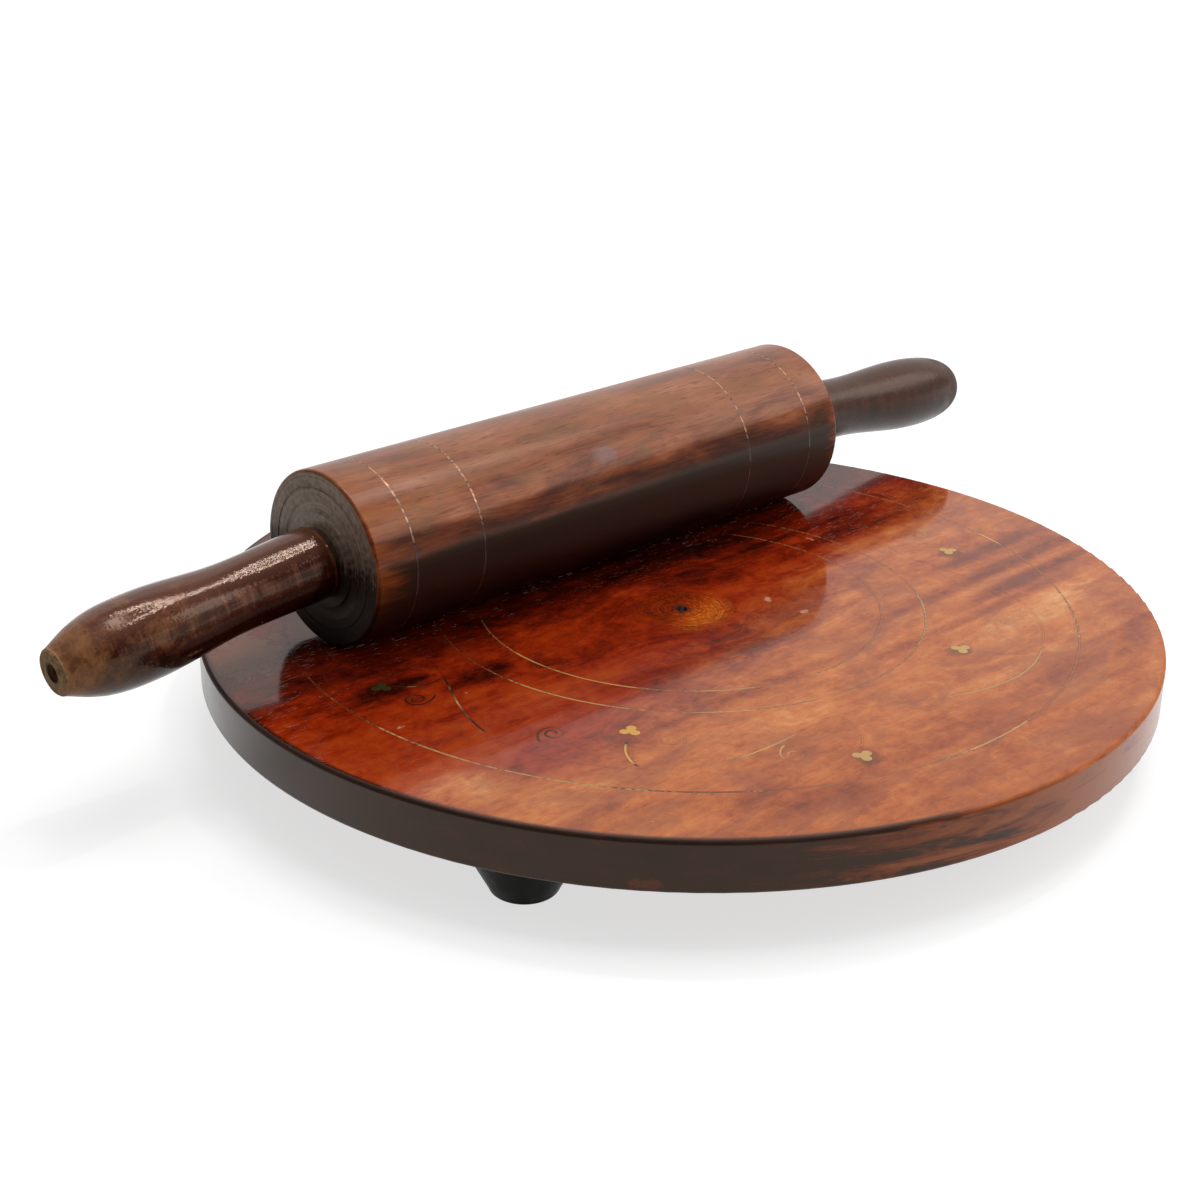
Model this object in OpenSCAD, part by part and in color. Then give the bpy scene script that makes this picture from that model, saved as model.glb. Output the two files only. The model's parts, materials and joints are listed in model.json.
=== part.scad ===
// A round wooden rolling board on three turned feet, inlaid with a scroll of brass wire, and the
// rolling pin that rests on it. The pin's two handles turn on headed steel spindles.
// The origin is on the table under the board's centre, +X runs along the pin and +Z is up.

/* [Board] */
// Diameter of the board
board_d = 254; // [203:1:305]
// Thickness of the board
board_t = 13; // [10:0.5:20]
// Radius of the worn edges of the board
rim_round = 0.9; // [0.3:0.1:2.5]
// Diameter of the open pith in the middle of the knot
pith_d = 3.2; // [1:0.1:6]
// Depth of the open pith
pith_depth = 2.2; // [0.5:0.1:4]
// Place of the pith along the pin, from the board's centre
pith_x = -2.3; // [-6:0.1:6]
// Place of the pith across the pin, from the board's centre
pith_y = -3; // [-6:0.1:6]

/* [Feet] */
// Height of the feet under the board
foot_h = 14.5; // [8:0.5:25]
// Diameter of a foot where it meets the board
foot_top_d = 30.4; // [20:0.1:36]
// Diameter of a foot where it stands
foot_base_d = 15.5; // [10:0.1:20]
// Radius of the edge that a foot stands on
foot_round = 1.7; // [0.5:0.1:3]
// Distance from the board's rim in to a foot's middle
foot_inset = 18.8; // [18.5:0.1:40]
// Direction of the front foot, from the pin's axis
foot_turn = 206; // [180:1:240]
// Diameter of the spigot that holds a foot in the board
spigot_d = 9; // [6:0.5:14]
// Length of the spigot
spigot_l = 6; // [3:0.5:8]
// Glue gap around the spigot, all round and at its end
spigot_clear = 0.1; // [0.05:0.01:0.3]

/* [Brass rings and scroll] */
// Width of the brass wire
wire_w = 0.5; // [0.4:0.05:0.8]
// Depth of the brass wire in the wood
wire_depth = 0.8; // [0.5:0.1:1.5]
// Gap between the wire and each wall of its groove
wire_clear = 0.05; // [0.02:0.01:0.1]
// Distance from the rim in to the outer ring
ring_inset = 21.8; // [15:0.1:28]
// Width of the band that holds the scroll, between the outer and middle rings
scroll_band = 39.6; // [38:0.1:42]
// Distance from the middle ring in to the inner ring
ring_gap = 11.7; // [6:0.1:18]
// Distance that the vine keeps from the rings beside it
vine_gap = 9.2; // [6:0.1:11]
// How full the vine's outer loops are, where 1 is a plain wave
vine_fullness = 1.4; // [1:0.1:1.6]

/* [Leaves and curls] */
// Radius of a leaf's lobes
lobe_r = 1.25; // [1:0.05:1.6]
// Distance from a leaf's middle to the middle of each lobe
lobe_out = 1.45; // [1:0.05:1.8]
// How far a stem bows from straight
stem_bow = 2.2; // [0.5:0.1:3]
// Angle that a stem leans along the vine
stem_lean = 16; // [0:1:20]
// Space left between a stem and the vine or its leaf
stem_gap = 0.7; // [0.4:0.1:1.5]
// Radius of a curl's widest turn
curl_r = 2.8; // [2.4:0.1:3]
// How much each half turn of a curl is smaller than the one before
curl_step = 0.75; // [0.6:0.01:0.8]
// Radius of a curl's tail
tail_r = 7; // [5:0.5:9]
// Angle that a curl's tail turns through
tail_sweep = 50; // [30:5:60]

/* [Barrel] */
// Diameter of the barrel
barrel_d = 46.1; // [38:0.1:56]
// Length of the barrel
barrel_l = 170.6; // [140:0.1:210]
// Radius of the barrel's worn edges
barrel_round = 0.9; // [0.3:0.1:2.5]
// Distance of the barrel's middle from the board's middle, along the pin
pin_shift = -1.1; // [-10:0.1:10]
// Distance of the pin's axis from the board's middle, across the pin
pin_offset = 41.5; // [0:0.5:60]
// Space between the barrel and the board that it rests on
seat_gap = 0.3; // [0.2:0.05:0.6]
// Distance from each end of the barrel to the wire ring beside it
end_ring_inset = 12.3; // [6:0.1:16]
// Distance from the left end to the second wire ring
left_ring_inset = 34.2; // [24:0.1:50]
// Distance from the right end to the second wire ring
right_ring_inset = 37.8; // [24:0.1:50]
// Diameter of the boss turned on each end
boss_d = 24.6; // [22:0.1:30]
// Height of the boss
boss_h = 0.6; // [0.3:0.1:1.5]
// Width of the hollow turned round the boss
cove_w = 3.3; // [2:0.1:4]
// Depth of the hollow
cove_depth = 0.3; // [0.2:0.1:1]
// Radius of the fine groove turned outside the hollow
score_r = 0.25; // [0.2:0.05:0.7]
// Diameter at which the fine groove runs
score_d = 37.2; // [34.6:0.1:37.4]

/* [Handles] */
// Diameter of a handle at its root
root_d = 19.1; // [16:0.1:21]
// Diameter of a handle at its waist
waist_d = 18.2; // [15:0.1:20]
// Diameter of a handle at its swell
swell_d = 21.9; // [19:0.1:26]
// Distance from the root to the waist
waist_at = 24; // [16:0.5:30]
// Radius of the worn edge at the root
root_round = 0.8; // [0.3:0.1:1.5]
// Length of the left handle
left_l = 74.7; // [70:0.1:90]
// Distance from the left handle's root to its swell
left_swell_at = 51; // [42:0.5:56]
// Diameter of the left handle's tip
left_tip_d = 11.8; // [9:0.1:14]
// How full the left handle's nose is near the swell
left_nose = 3; // [2:0.05:4]
// How the left handle's nose falls to its tip, where 0.5 is a round end
left_fall = 1.3; // [0.45:0.01:1.5]
// Angle that the left handle hangs below the barrel's axis
left_droop = 5.8; // [0:0.1:7]
// Length of the right handle
right_l = 79.6; // [70:0.1:90]
// Distance from the right handle's root to its swell
right_swell_at = 57; // [42:0.5:58]
// Diameter of the right handle's tip
right_tip_d = 9.7; // [9:0.1:14]
// How full the right handle's nose is near the swell
right_nose = 2.25; // [2:0.05:4]
// How the right handle's nose falls to its tip, where 0.5 is a round end
right_fall = 0.48; // [0.45:0.01:1.5]
// Angle that the right handle hangs below the barrel's axis
right_droop = 3.9; // [0:0.1:7]
// Width of the worn edge round a handle's tip
tip_break = 0.5; // [0.2:0.1:1]
// Least gap between a handle's root and the boss
handle_gap = 0.3; // [0.2:0.05:1]

/* [Spindles] */
// Diameter of a spindle's shank
spindle_d = 3; // [2:0.1:3.4]
// Running gap between the shank and the handle's bore
turn_clear = 0.08; // [0.03:0.01:0.1]
// Gap round the shank where it is driven into the barrel
drive_clear = 0.02; // [0.02:0.01:0.04]
// Length of the shank inside the barrel
drive_l = 28; // [15:1:35]
// Diameter of the spindle's head
head_d = 4.2; // [3.8:0.1:5]
// Thickness of the head
head_h = 1.6; // [1:0.1:3]
// Radius of the head's edge
head_round = 0.5; // [0.2:0.1:0.8]
// Gap between the head and the wall of its hole
head_clear = 0.2; // [0.1:0.05:0.4]
// Depth of the hole that hides the head
head_hole = 4; // [4:0.5:10]
// End play between the head and the floor of its hole
end_play = 0.2; // [0.1:0.05:0.5]

/* [Hidden] */
$fn = 96;
small = 0.01;
// How far a cut runs past the surface that it opens
cut_over = 1;

board_wood = "#9c3a16";
foot_wood = "#2b241c";
pin_wood = "#5c2a17";
handle_wood = "#4a2014";
brass = "#d8b66a";
steel = "#8d8f92";

board_r = board_d / 2;
board_top = foot_h + board_t;
outer_ring_r = board_r - ring_inset;
middle_ring_r = outer_ring_r - scroll_band;
inner_ring_r = middle_ring_r - ring_gap;
wire_floor = board_top - wire_depth;

foot_count = 3;
foot_step = 360 / foot_count;
foot_r = board_r - foot_inset;
// Where a foot's side starts, as a share of the radius of its rounded lower edge
side_start = 0.97;
// The most that the rounding of a spindle's head takes of its thickness, at each face
round_share = 0.45;

barrel_r = barrel_d / 2;
axis_z = board_top + seat_gap + barrel_r;
boss_r = boss_d / 2;
ring_places = [
    end_ring_inset, left_ring_inset,
    barrel_l - right_ring_inset, barrel_l - end_ring_inset
];

LEFT = -1;
RIGHT = 1;
// How far past the barrel's end a spindle's hole is cut, which is through the boss
drive_out = boss_h + cut_over;
handle_bands = 24;
nose_bands = 28;

// The directions at which the vine turns, laid by hand, first an inner turn and then an outer one
vine_turns = [168, 213, 257, 304, 348, 393, 438, 483];
vine_in_r = middle_ring_r + vine_gap;
vine_out_r = outer_ring_r - vine_gap;
vine_steps = 16;

// Each leaf's direction, and its distance in from the outer ring or, every second leaf, out from
// the middle ring. They were laid by hand too, so that no two are quite alike.
leaf_places = [
    [172.5, 13], [216, 11.4], [251, 10.1], [296, 10.7],
    [344, 16.7], [389, 11], [436, 12], [482, 11.2]
];
leaf_foot = lobe_out / 2 + lobe_r;

// Each leaf's two curls, as the turn from the leaf and how much nearer the vine the curl lies
curl_places = [
    [[-9, 4], [7, 3]], [[-12.3, 7], [7.6, 3.5]], [[-9.5, 5], [12.5, 7]], [[-10, 6], [13, 6]],
    [[-8, 0], [9, -1]], [[-9, 5], [9, 6]], [[-10, 5], [8, 4]], [[-8, 5], [10, 6]]
];
curl_halves = 3;
stem_steps = 4;

// A smooth step from a to b while t goes from 0 to 1
function blend(a, b, t) = a + (b - a) * (1 - cos(180 * t)) / 2;

// The angle, in degrees, that an arc of length s takes up at radius r
function arc_angle(s, r) = s / r * 180 / PI;

function polar(r, a) = [r * cos(a), r * sin(a)];

// Where turn i of the vine ends
function turn_end(i) = i < len(vine_turns) - 1 ? vine_turns[i + 1] : vine_turns[0] + 360;

// The vine's radius in turn i, at the share t of that turn
function vine_at(i, t) =
    let (out = i % 2 == 0 ? blend(0, 1, t) : blend(1, 0, t))
    vine_in_r + (vine_out_r - vine_in_r) * (1 - pow(1 - out, vine_fullness));

// The vine's radius in the direction a
function vine_radius(a) =
    let (i = max([for (k = [0:len(vine_turns) - 1]) if (a >= vine_turns[k]) k]))
    vine_at(i, (a - vine_turns[i]) / (turn_end(i) - vine_turns[i]));

function vine_line() = [
    for (i = [0:len(vine_turns) - 1], s = [0:vine_steps - 1])
        let (t = s / vine_steps)
        polar(vine_at(i, t), vine_turns[i] + (turn_end(i) - vine_turns[i]) * t)
];

// A closed line moved sideways by d, to its left when d is positive
function beside(line, d) = [
    for (i = [0:len(line) - 1])
        let (
            n = len(line),
            along = line[(i + 1) % n] - line[(i + n - 1) % n],
            side = [-along.y, along.x] / norm(along)
        )
        line[i] + side * d
];

function leaf_is_outer(i) = i % 2 == 0;

function leaf_radius(i) =
    leaf_is_outer(i) ? outer_ring_r - leaf_places[i][1] : middle_ring_r + leaf_places[i][1];

// From leaf i towards the vine, as a step in radius
function vineward(i) = leaf_is_outer(i) ? -1 : 1;

// The distance from a leaf's middle to the vine, along a line that leans by stem_lean. The vine's
// direction there is found in a few steps, from the leaf's own direction at first.
function stem_reach(i, a, steps) =
    let (
        r = leaf_radius(i),
        reach = abs(vine_radius(a) - r) / cos(stem_lean),
        end = [r + vineward(i) * reach * cos(stem_lean), reach * sin(stem_lean)]
    )
    steps == 0 ? reach : stem_reach(i, leaf_places[i][0] + atan2(end.y, end.x), steps - 1);

// The radius of a handle at the distance x from its root. The nose falls from the swell to the tip
// along a power curve, which nose and fall shape.
function handle_radius(x, l, swell_at, tip_r, nose, fall) =
    x < waist_at ? blend(root_d, waist_d, x / waist_at) / 2
    : x < swell_at ? blend(waist_d, swell_d, (x - waist_at) / (swell_at - waist_at)) / 2
    : tip_r + (swell_d / 2 - tip_r)
        * pow(max(1 - pow((x - swell_at) / (l - swell_at), nose), 0), fall);

// How far along its own axis a handle starts, so that its lower edge just clears the boss
function root_at(droop) = (boss_h + handle_gap + root_d / 2 * sin(droop)) / cos(droop);

function handle_end(side) = side == LEFT ? left_l : right_l;

function handle_droop(side) = side == LEFT ? left_droop : right_droop;

// The height of an inlaid shape. A groove is cut wider by grow, and through the board's top.
function inlay_h(grow) = grow > 0 ? wire_depth + cut_over : wire_depth;

// A strip of wire along an arc of radius r, standing on z = 0, and wider on each side by grow
module wire_arc(r, from, sweep, grow) {
    half = wire_w / 2 + grow;
    rotate([0, 0, from])
        rotate_extrude(angle = sweep)
            translate([r - half, 0])
                square([2 * half, inlay_h(grow)]);
}

module ring_wire(r) {
    translate([0, 0, wire_floor])
        wire_arc(r, 0, 360, 0);
}

// The closed wavy strip of the vine, made wider on each side by grow
module vine_strip(grow) {
    line = vine_line();
    n = len(line);
    half = wire_w / 2 + grow;
    linear_extrude(inlay_h(grow))
        polygon(
            concat(beside(line, -half), beside(line, half)),
            paths = [[for (i = [0:n - 1]) i], [for (i = [0:n - 1]) n + i]]
        );
}

// Puts a leaf's frame in place: +Y is the way that the leaf points, away from the vine
module at_leaf(i) {
    rotate([0, 0, leaf_places[i][0]])
        translate([leaf_radius(i), 0, 0])
            rotate([0, 0, vineward(i) * 90])
                children();
}

module leaf_shape(grow) {
    linear_extrude(inlay_h(grow))
        union() {
            circle(lobe_r + grow, $fn = 48);
            for (a = [90, 210, 330])
                translate(polar(lobe_out, a))
                    circle(lobe_r + grow, $fn = 48);
        }
}

// A bowed stem from the foot of leaf i to the vine, leaning along it
module stem_shape(i, grow) {
    start = leaf_foot + stem_gap;
    chord = stem_reach(i, leaf_places[i][0], stem_steps) - start - (stem_gap + wire_w) / cos(stem_lean);
    bow_r = (chord * chord / 4 + stem_bow * stem_bow) / (2 * stem_bow);
    half = asin(chord / 2 / bow_r);
    over = arc_angle(grow, bow_r);
    rotate([0, 0, vineward(i) * stem_lean])
        translate([bow_r - stem_bow, -start - chord / 2, 0])
            wire_arc(bow_r, 180 - half - over, 2 * (half + over), grow);
}

// A curl: half turns about two centres, each smaller than the one before, and a tail
module curl_shape(grow) {
    for (i = [0:curl_halves - 1]) {
        r = curl_r - i * curl_step;
        over = i == curl_halves - 1 ? arc_angle(grow, r) : 0;
        translate([i % 2 == 0 ? 0 : -curl_step, 0, 0])
            wire_arc(r, 180 * i, 180 + over, grow);
    }
    translate([curl_r - tail_r, 0, 0])
        mirror([0, 1, 0])
            wire_arc(tail_r, 0, tail_sweep + arc_angle(grow, tail_r), grow);
}

// The two curls of leaf i, each curling over towards the leaf
module curl_pair(i, grow) {
    for (place = curl_places[i])
        rotate([0, 0, leaf_places[i][0] + place[0]])
            translate([leaf_radius(i) + vineward(i) * place[1], 0, 0])
                rotate([0, 0, vineward(i) * 90])
                    mirror([vineward(i) * place[0] < 0 ? 1 : 0, 0, 0])
                        curl_shape(grow);
}

module rounded_slab(r, h, round) {
    square([r - round, h]);
    translate([0, round])
        square([r, h - 2 * round]);
    for (z = [round, h - round])
        translate([r - round, z])
            circle(round, $fn = 32);
}

module foot_place(k) {
    rotate([0, 0, foot_turn + k * foot_step])
        translate([foot_r, 0, 0])
            children();
}

module board_disc() {
    color(board_wood)
        difference() {
            translate([0, 0, foot_h])
                rotate_extrude()
                    difference() {
                        intersection() {
                            rounded_slab(board_r, board_t, rim_round);
                            square([board_r, board_t]);
                        }
                        for (r = [outer_ring_r, middle_ring_r, inner_ring_r])
                            translate([r - wire_w / 2 - wire_clear, board_t - wire_depth])
                                square([wire_w + 2 * wire_clear, wire_depth + cut_over]);
                    }
            translate([0, 0, wire_floor]) {
                vine_strip(wire_clear);
                for (i = [0:len(leaf_places) - 1]) {
                    at_leaf(i) {
                        leaf_shape(wire_clear);
                        stem_shape(i, wire_clear);
                    }
                    curl_pair(i, wire_clear);
                }
            }
            translate([pith_x, pith_y, board_top - pith_depth])
                cylinder(h = pith_depth + small, d1 = pith_d / 2, d2 = pith_d);
            for (k = [0:foot_count - 1])
                foot_place(k)
                    translate([0, 0, foot_h - small])
                        cylinder(h = spigot_l + spigot_clear + small, d = spigot_d + 2 * spigot_clear);
        }
}

// A turned foot, with its spigot, standing on z = 0
module foot(k) {
    base_r = foot_base_d / 2;
    lean = atan2((foot_top_d - foot_base_d) / 2, foot_h);
    // the side's line starts a little inside the rounded lower edge, so that the two cross
    edge_r = base_r - foot_round * tan(45 - lean / 2);
    start = [edge_r, foot_round] + polar(foot_round * side_start, -lean);
    color(foot_wood)
        foot_place(k)
            rotate_extrude() {
                polygon([
                    [0, 0], [edge_r, 0], [edge_r, foot_round], start,
                    [foot_top_d / 2, foot_h], [0, foot_h]
                ]);
                intersection() {
                    translate([edge_r, foot_round])
                        circle(foot_round, $fn = 48);
                    square([foot_top_d, foot_h]);
                }
                square([spigot_d / 2, foot_h + spigot_l]);
            }
}

module front_foot() { foot(0); }

module right_foot() { foot(1); }

module back_foot() { foot(2); }

module outer_ring_wire() { color(brass) ring_wire(outer_ring_r); }

module middle_ring_wire() { color(brass) ring_wire(middle_ring_r); }

module inner_ring_wire() { color(brass) ring_wire(inner_ring_r); }

module vine_wire() {
    color(brass)
        translate([0, 0, wire_floor])
            vine_strip(0);
}

module stem_wires() {
    color(brass)
        translate([0, 0, wire_floor])
            for (i = [0:len(leaf_places) - 1])
                at_leaf(i)
                    stem_shape(i, 0);
}

module curl_wires() {
    color(brass)
        translate([0, 0, wire_floor])
            for (i = [0:len(leaf_places) - 1])
                curl_pair(i, 0);
}

module leaf_inlays() {
    color(brass)
        translate([0, 0, wire_floor])
            for (i = [0:len(leaf_places) - 1])
                at_leaf(i)
                    leaf_shape(0);
}

// Lays what is modelled along +Z, from 0 to the barrel's length, along the pin's axis
module along_pin() {
    translate([pin_shift - barrel_l / 2, pin_offset, axis_z])
        rotate([0, 90, 0])
            children();
}

// A handle's frame: +Z runs out along the handle's own drooping axis from the barrel's end
module at_handle(side) {
    translate([pin_shift + side * barrel_l / 2, pin_offset, axis_z])
        rotate([0, side * (90 + handle_droop(side)), 0])
            children();
}

// Half of the barrel's outline at one end, which lies on y = 0: what is turned into that end
module end_cuts() {
    cove_r = (cove_w * cove_w / 4 + cove_depth * cove_depth) / (2 * cove_depth);
    translate([boss_r + cove_w / 2, cove_depth - cove_r])
        circle(cove_r, $fn = 64);
    translate([score_d / 2, 0])
        circle(score_r, $fn = 24);
}

module barrel() {
    color(pin_wood)
        difference() {
            along_pin()
                rotate_extrude() {
                    difference() {
                        intersection() {
                            rounded_slab(barrel_r, barrel_l, barrel_round);
                            square([barrel_r, barrel_l]);
                        }
                        end_cuts();
                        translate([0, barrel_l])
                            mirror([0, 1])
                                end_cuts();
                        for (x = ring_places)
                            translate([barrel_r - wire_depth - wire_clear, x - wire_w / 2 - wire_clear])
                                square([wire_depth + cut_over, wire_w + 2 * wire_clear]);
                    }
                    translate([0, -boss_h])
                        square([boss_r, barrel_l + 2 * boss_h]);
                }
            for (side = [LEFT, RIGHT])
                at_handle(side)
                    translate([0, 0, -drive_l - drive_clear])
                        cylinder(h = drive_l + drive_out, d = spindle_d + 2 * drive_clear);
        }
}

module barrel_ring(k) {
    color(brass)
        along_pin()
            translate([0, 0, ring_places[k] - wire_w / 2])
                rotate_extrude()
                    translate([barrel_r - wire_depth, 0])
                        square([wire_depth, wire_w]);
}

module left_end_ring() { barrel_ring(0); }

module left_inner_ring() { barrel_ring(1); }

module right_inner_ring() { barrel_ring(2); }

module right_end_ring() { barrel_ring(3); }

module handle(side, swell_at, tip_d, nose, fall) {
    l = handle_end(side);
    body = [
        for (i = [0:handle_bands]) let (x = root_round + (swell_at - root_round) * i / handle_bands)
            [handle_radius(x, l, swell_at, tip_d / 2, nose, fall), x]
    ];
    nose_l = l - tip_break - swell_at;
    nose_end = [
        for (i = [1:nose_bands]) let (x = swell_at + nose_l * sin(90 * i / nose_bands))
            [handle_radius(x, l - tip_break, swell_at, tip_d / 2, nose, fall), x]
    ];
    tip_face = [[tip_d / 2 - tip_break, l], [0, l]];
    color(handle_wood)
        at_handle(side)
            translate([0, 0, root_at(handle_droop(side))])
                difference() {
                    rotate_extrude() {
                        polygon(concat([[0, root_round]], body, nose_end, tip_face));
                        square([root_d / 2 - root_round, 2 * root_round]);
                        intersection() {
                            translate([root_d / 2 - root_round, root_round])
                                circle(root_round, $fn = 32);
                            square([root_d, root_round]);
                        }
                    }
                    translate([0, 0, -cut_over])
                        cylinder(h = l + 2 * cut_over, d = spindle_d + 2 * turn_clear);
                    translate([0, 0, l - head_hole])
                        cylinder(h = head_hole + cut_over, d = head_d + 2 * head_clear);
                }
}

module left_handle() { handle(LEFT, left_swell_at, left_tip_d, left_nose, left_fall); }

module right_handle() { handle(RIGHT, right_swell_at, right_tip_d, right_nose, right_fall); }

module spindle(side) {
    head_at = root_at(handle_droop(side)) + handle_end(side) - head_hole + end_play;
    color(steel)
        at_handle(side) {
            translate([0, 0, -drive_l])
                cylinder(h = drive_l + head_at + small, d = spindle_d);
            translate([0, 0, head_at])
                rotate_extrude()
                    intersection() {
                        rounded_slab(head_d / 2, head_h, min(head_round, round_share * head_h));
                        square([head_d / 2, head_h]);
                    }
        }
}

module left_spindle() { spindle(LEFT); }

module right_spindle() { spindle(RIGHT); }

board_disc();
front_foot();
right_foot();
back_foot();
outer_ring_wire();
middle_ring_wire();
inner_ring_wire();
vine_wire();
stem_wires();
curl_wires();
leaf_inlays();
barrel();
left_end_ring();
left_inner_ring();
right_inner_ring();
right_end_ring();
left_handle();
right_handle();
left_spindle();
right_spindle();
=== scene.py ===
# The looks of a wooden rolling board and rolling pin: camera, floor, light, and a material for each
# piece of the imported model. Lengths in the materials are millimetres in the model's frame.
import json
import math
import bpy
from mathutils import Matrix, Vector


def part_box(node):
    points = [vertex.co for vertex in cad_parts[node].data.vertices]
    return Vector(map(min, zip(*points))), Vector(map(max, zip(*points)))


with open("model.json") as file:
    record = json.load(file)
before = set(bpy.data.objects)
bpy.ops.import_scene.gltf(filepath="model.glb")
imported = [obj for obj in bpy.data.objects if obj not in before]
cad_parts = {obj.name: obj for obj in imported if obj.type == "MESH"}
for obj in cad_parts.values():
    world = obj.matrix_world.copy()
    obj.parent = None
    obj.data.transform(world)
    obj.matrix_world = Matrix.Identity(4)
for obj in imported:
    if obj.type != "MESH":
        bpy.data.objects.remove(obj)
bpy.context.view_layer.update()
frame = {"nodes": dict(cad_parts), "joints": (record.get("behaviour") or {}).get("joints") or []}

from types import SimpleNamespace

import bpy
from mathutils import Matrix, Vector

scene = bpy.context.scene
nodes = frame["nodes"]
joints = {joint["name"]: joint for joint in frame["joints"]}

MM = 0.001


def millimetres(node):
    """The lowest and highest corner of a CAD node, in millimetres."""
    low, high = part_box(node)
    return low / MM, high / MM


# The camera, as it stood for the photograph. Its place is in metres, its lens and sensor in millimetres
CAMERA_PLACE = Vector((-0.3635, -0.3492, 0.2451))
CAMERA_HEADING = math.radians(43.726)
CAMERA_PITCH = math.radians(23.311)
CAMERA_ROLL = math.radians(-0.914)
CAMERA_LENS = 61.3
CAMERA_SENSOR = 36.0
CAMERA_NEAR = 0.01
CAMERA_FAR = 100


def make_camera():
    forward = Vector((
        math.sin(CAMERA_HEADING) * math.cos(CAMERA_PITCH),
        math.cos(CAMERA_HEADING) * math.cos(CAMERA_PITCH),
        -math.sin(CAMERA_PITCH),
    ))
    level = Vector((math.cos(CAMERA_HEADING), -math.sin(CAMERA_HEADING), 0))
    down = forward.cross(level)
    right = level * math.cos(CAMERA_ROLL) + down * math.sin(CAMERA_ROLL)
    up = level * math.sin(CAMERA_ROLL) - down * math.cos(CAMERA_ROLL)
    data = bpy.data.cameras.new("camera")
    data.lens = CAMERA_LENS
    data.sensor_width = CAMERA_SENSOR
    data.clip_start = CAMERA_NEAR
    data.clip_end = CAMERA_FAR
    camera = bpy.data.objects.new("camera", data)
    turn = Matrix((right, up, -forward)).transposed()
    camera.matrix_world = Matrix.Translation(CAMERA_PLACE) @ turn.to_4x4()
    scene.collection.objects.link(camera)
    scene.camera = camera


def srgb(text):
    """A colour written as it looks on screen, such as #9c3a16, as the linear values that nodes take."""
    shares = [int(text[i:i + 2], 16) / 255 for i in (1, 3, 5)]
    return [s / 12.92 if s <= 0.04045 else ((s + 0.055) / 1.055) ** 2.4 for s in shares] + [1]


class Field:
    """What a node gives at each point of a surface: a number, a vector or a colour."""

    def __init__(self, tree, socket):
        self.tree = tree
        self.socket = socket

    def __add__(self, other):
        return self.tree.number("ADD", self, other)

    def __sub__(self, other):
        return self.tree.number("SUBTRACT", self, other)

    def __rsub__(self, other):
        return self.tree.number("SUBTRACT", other, self)

    def __mul__(self, other):
        return self.tree.number("MULTIPLY", self, other)

    def __truediv__(self, other):
        return self.tree.number("DIVIDE", self, other)

    def __rtruediv__(self, other):
        return self.tree.number("DIVIDE", other, self)

    def __pow__(self, other):
        return self.tree.number("POWER", self, other)

    __radd__ = __add__
    __rmul__ = __mul__


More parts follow.
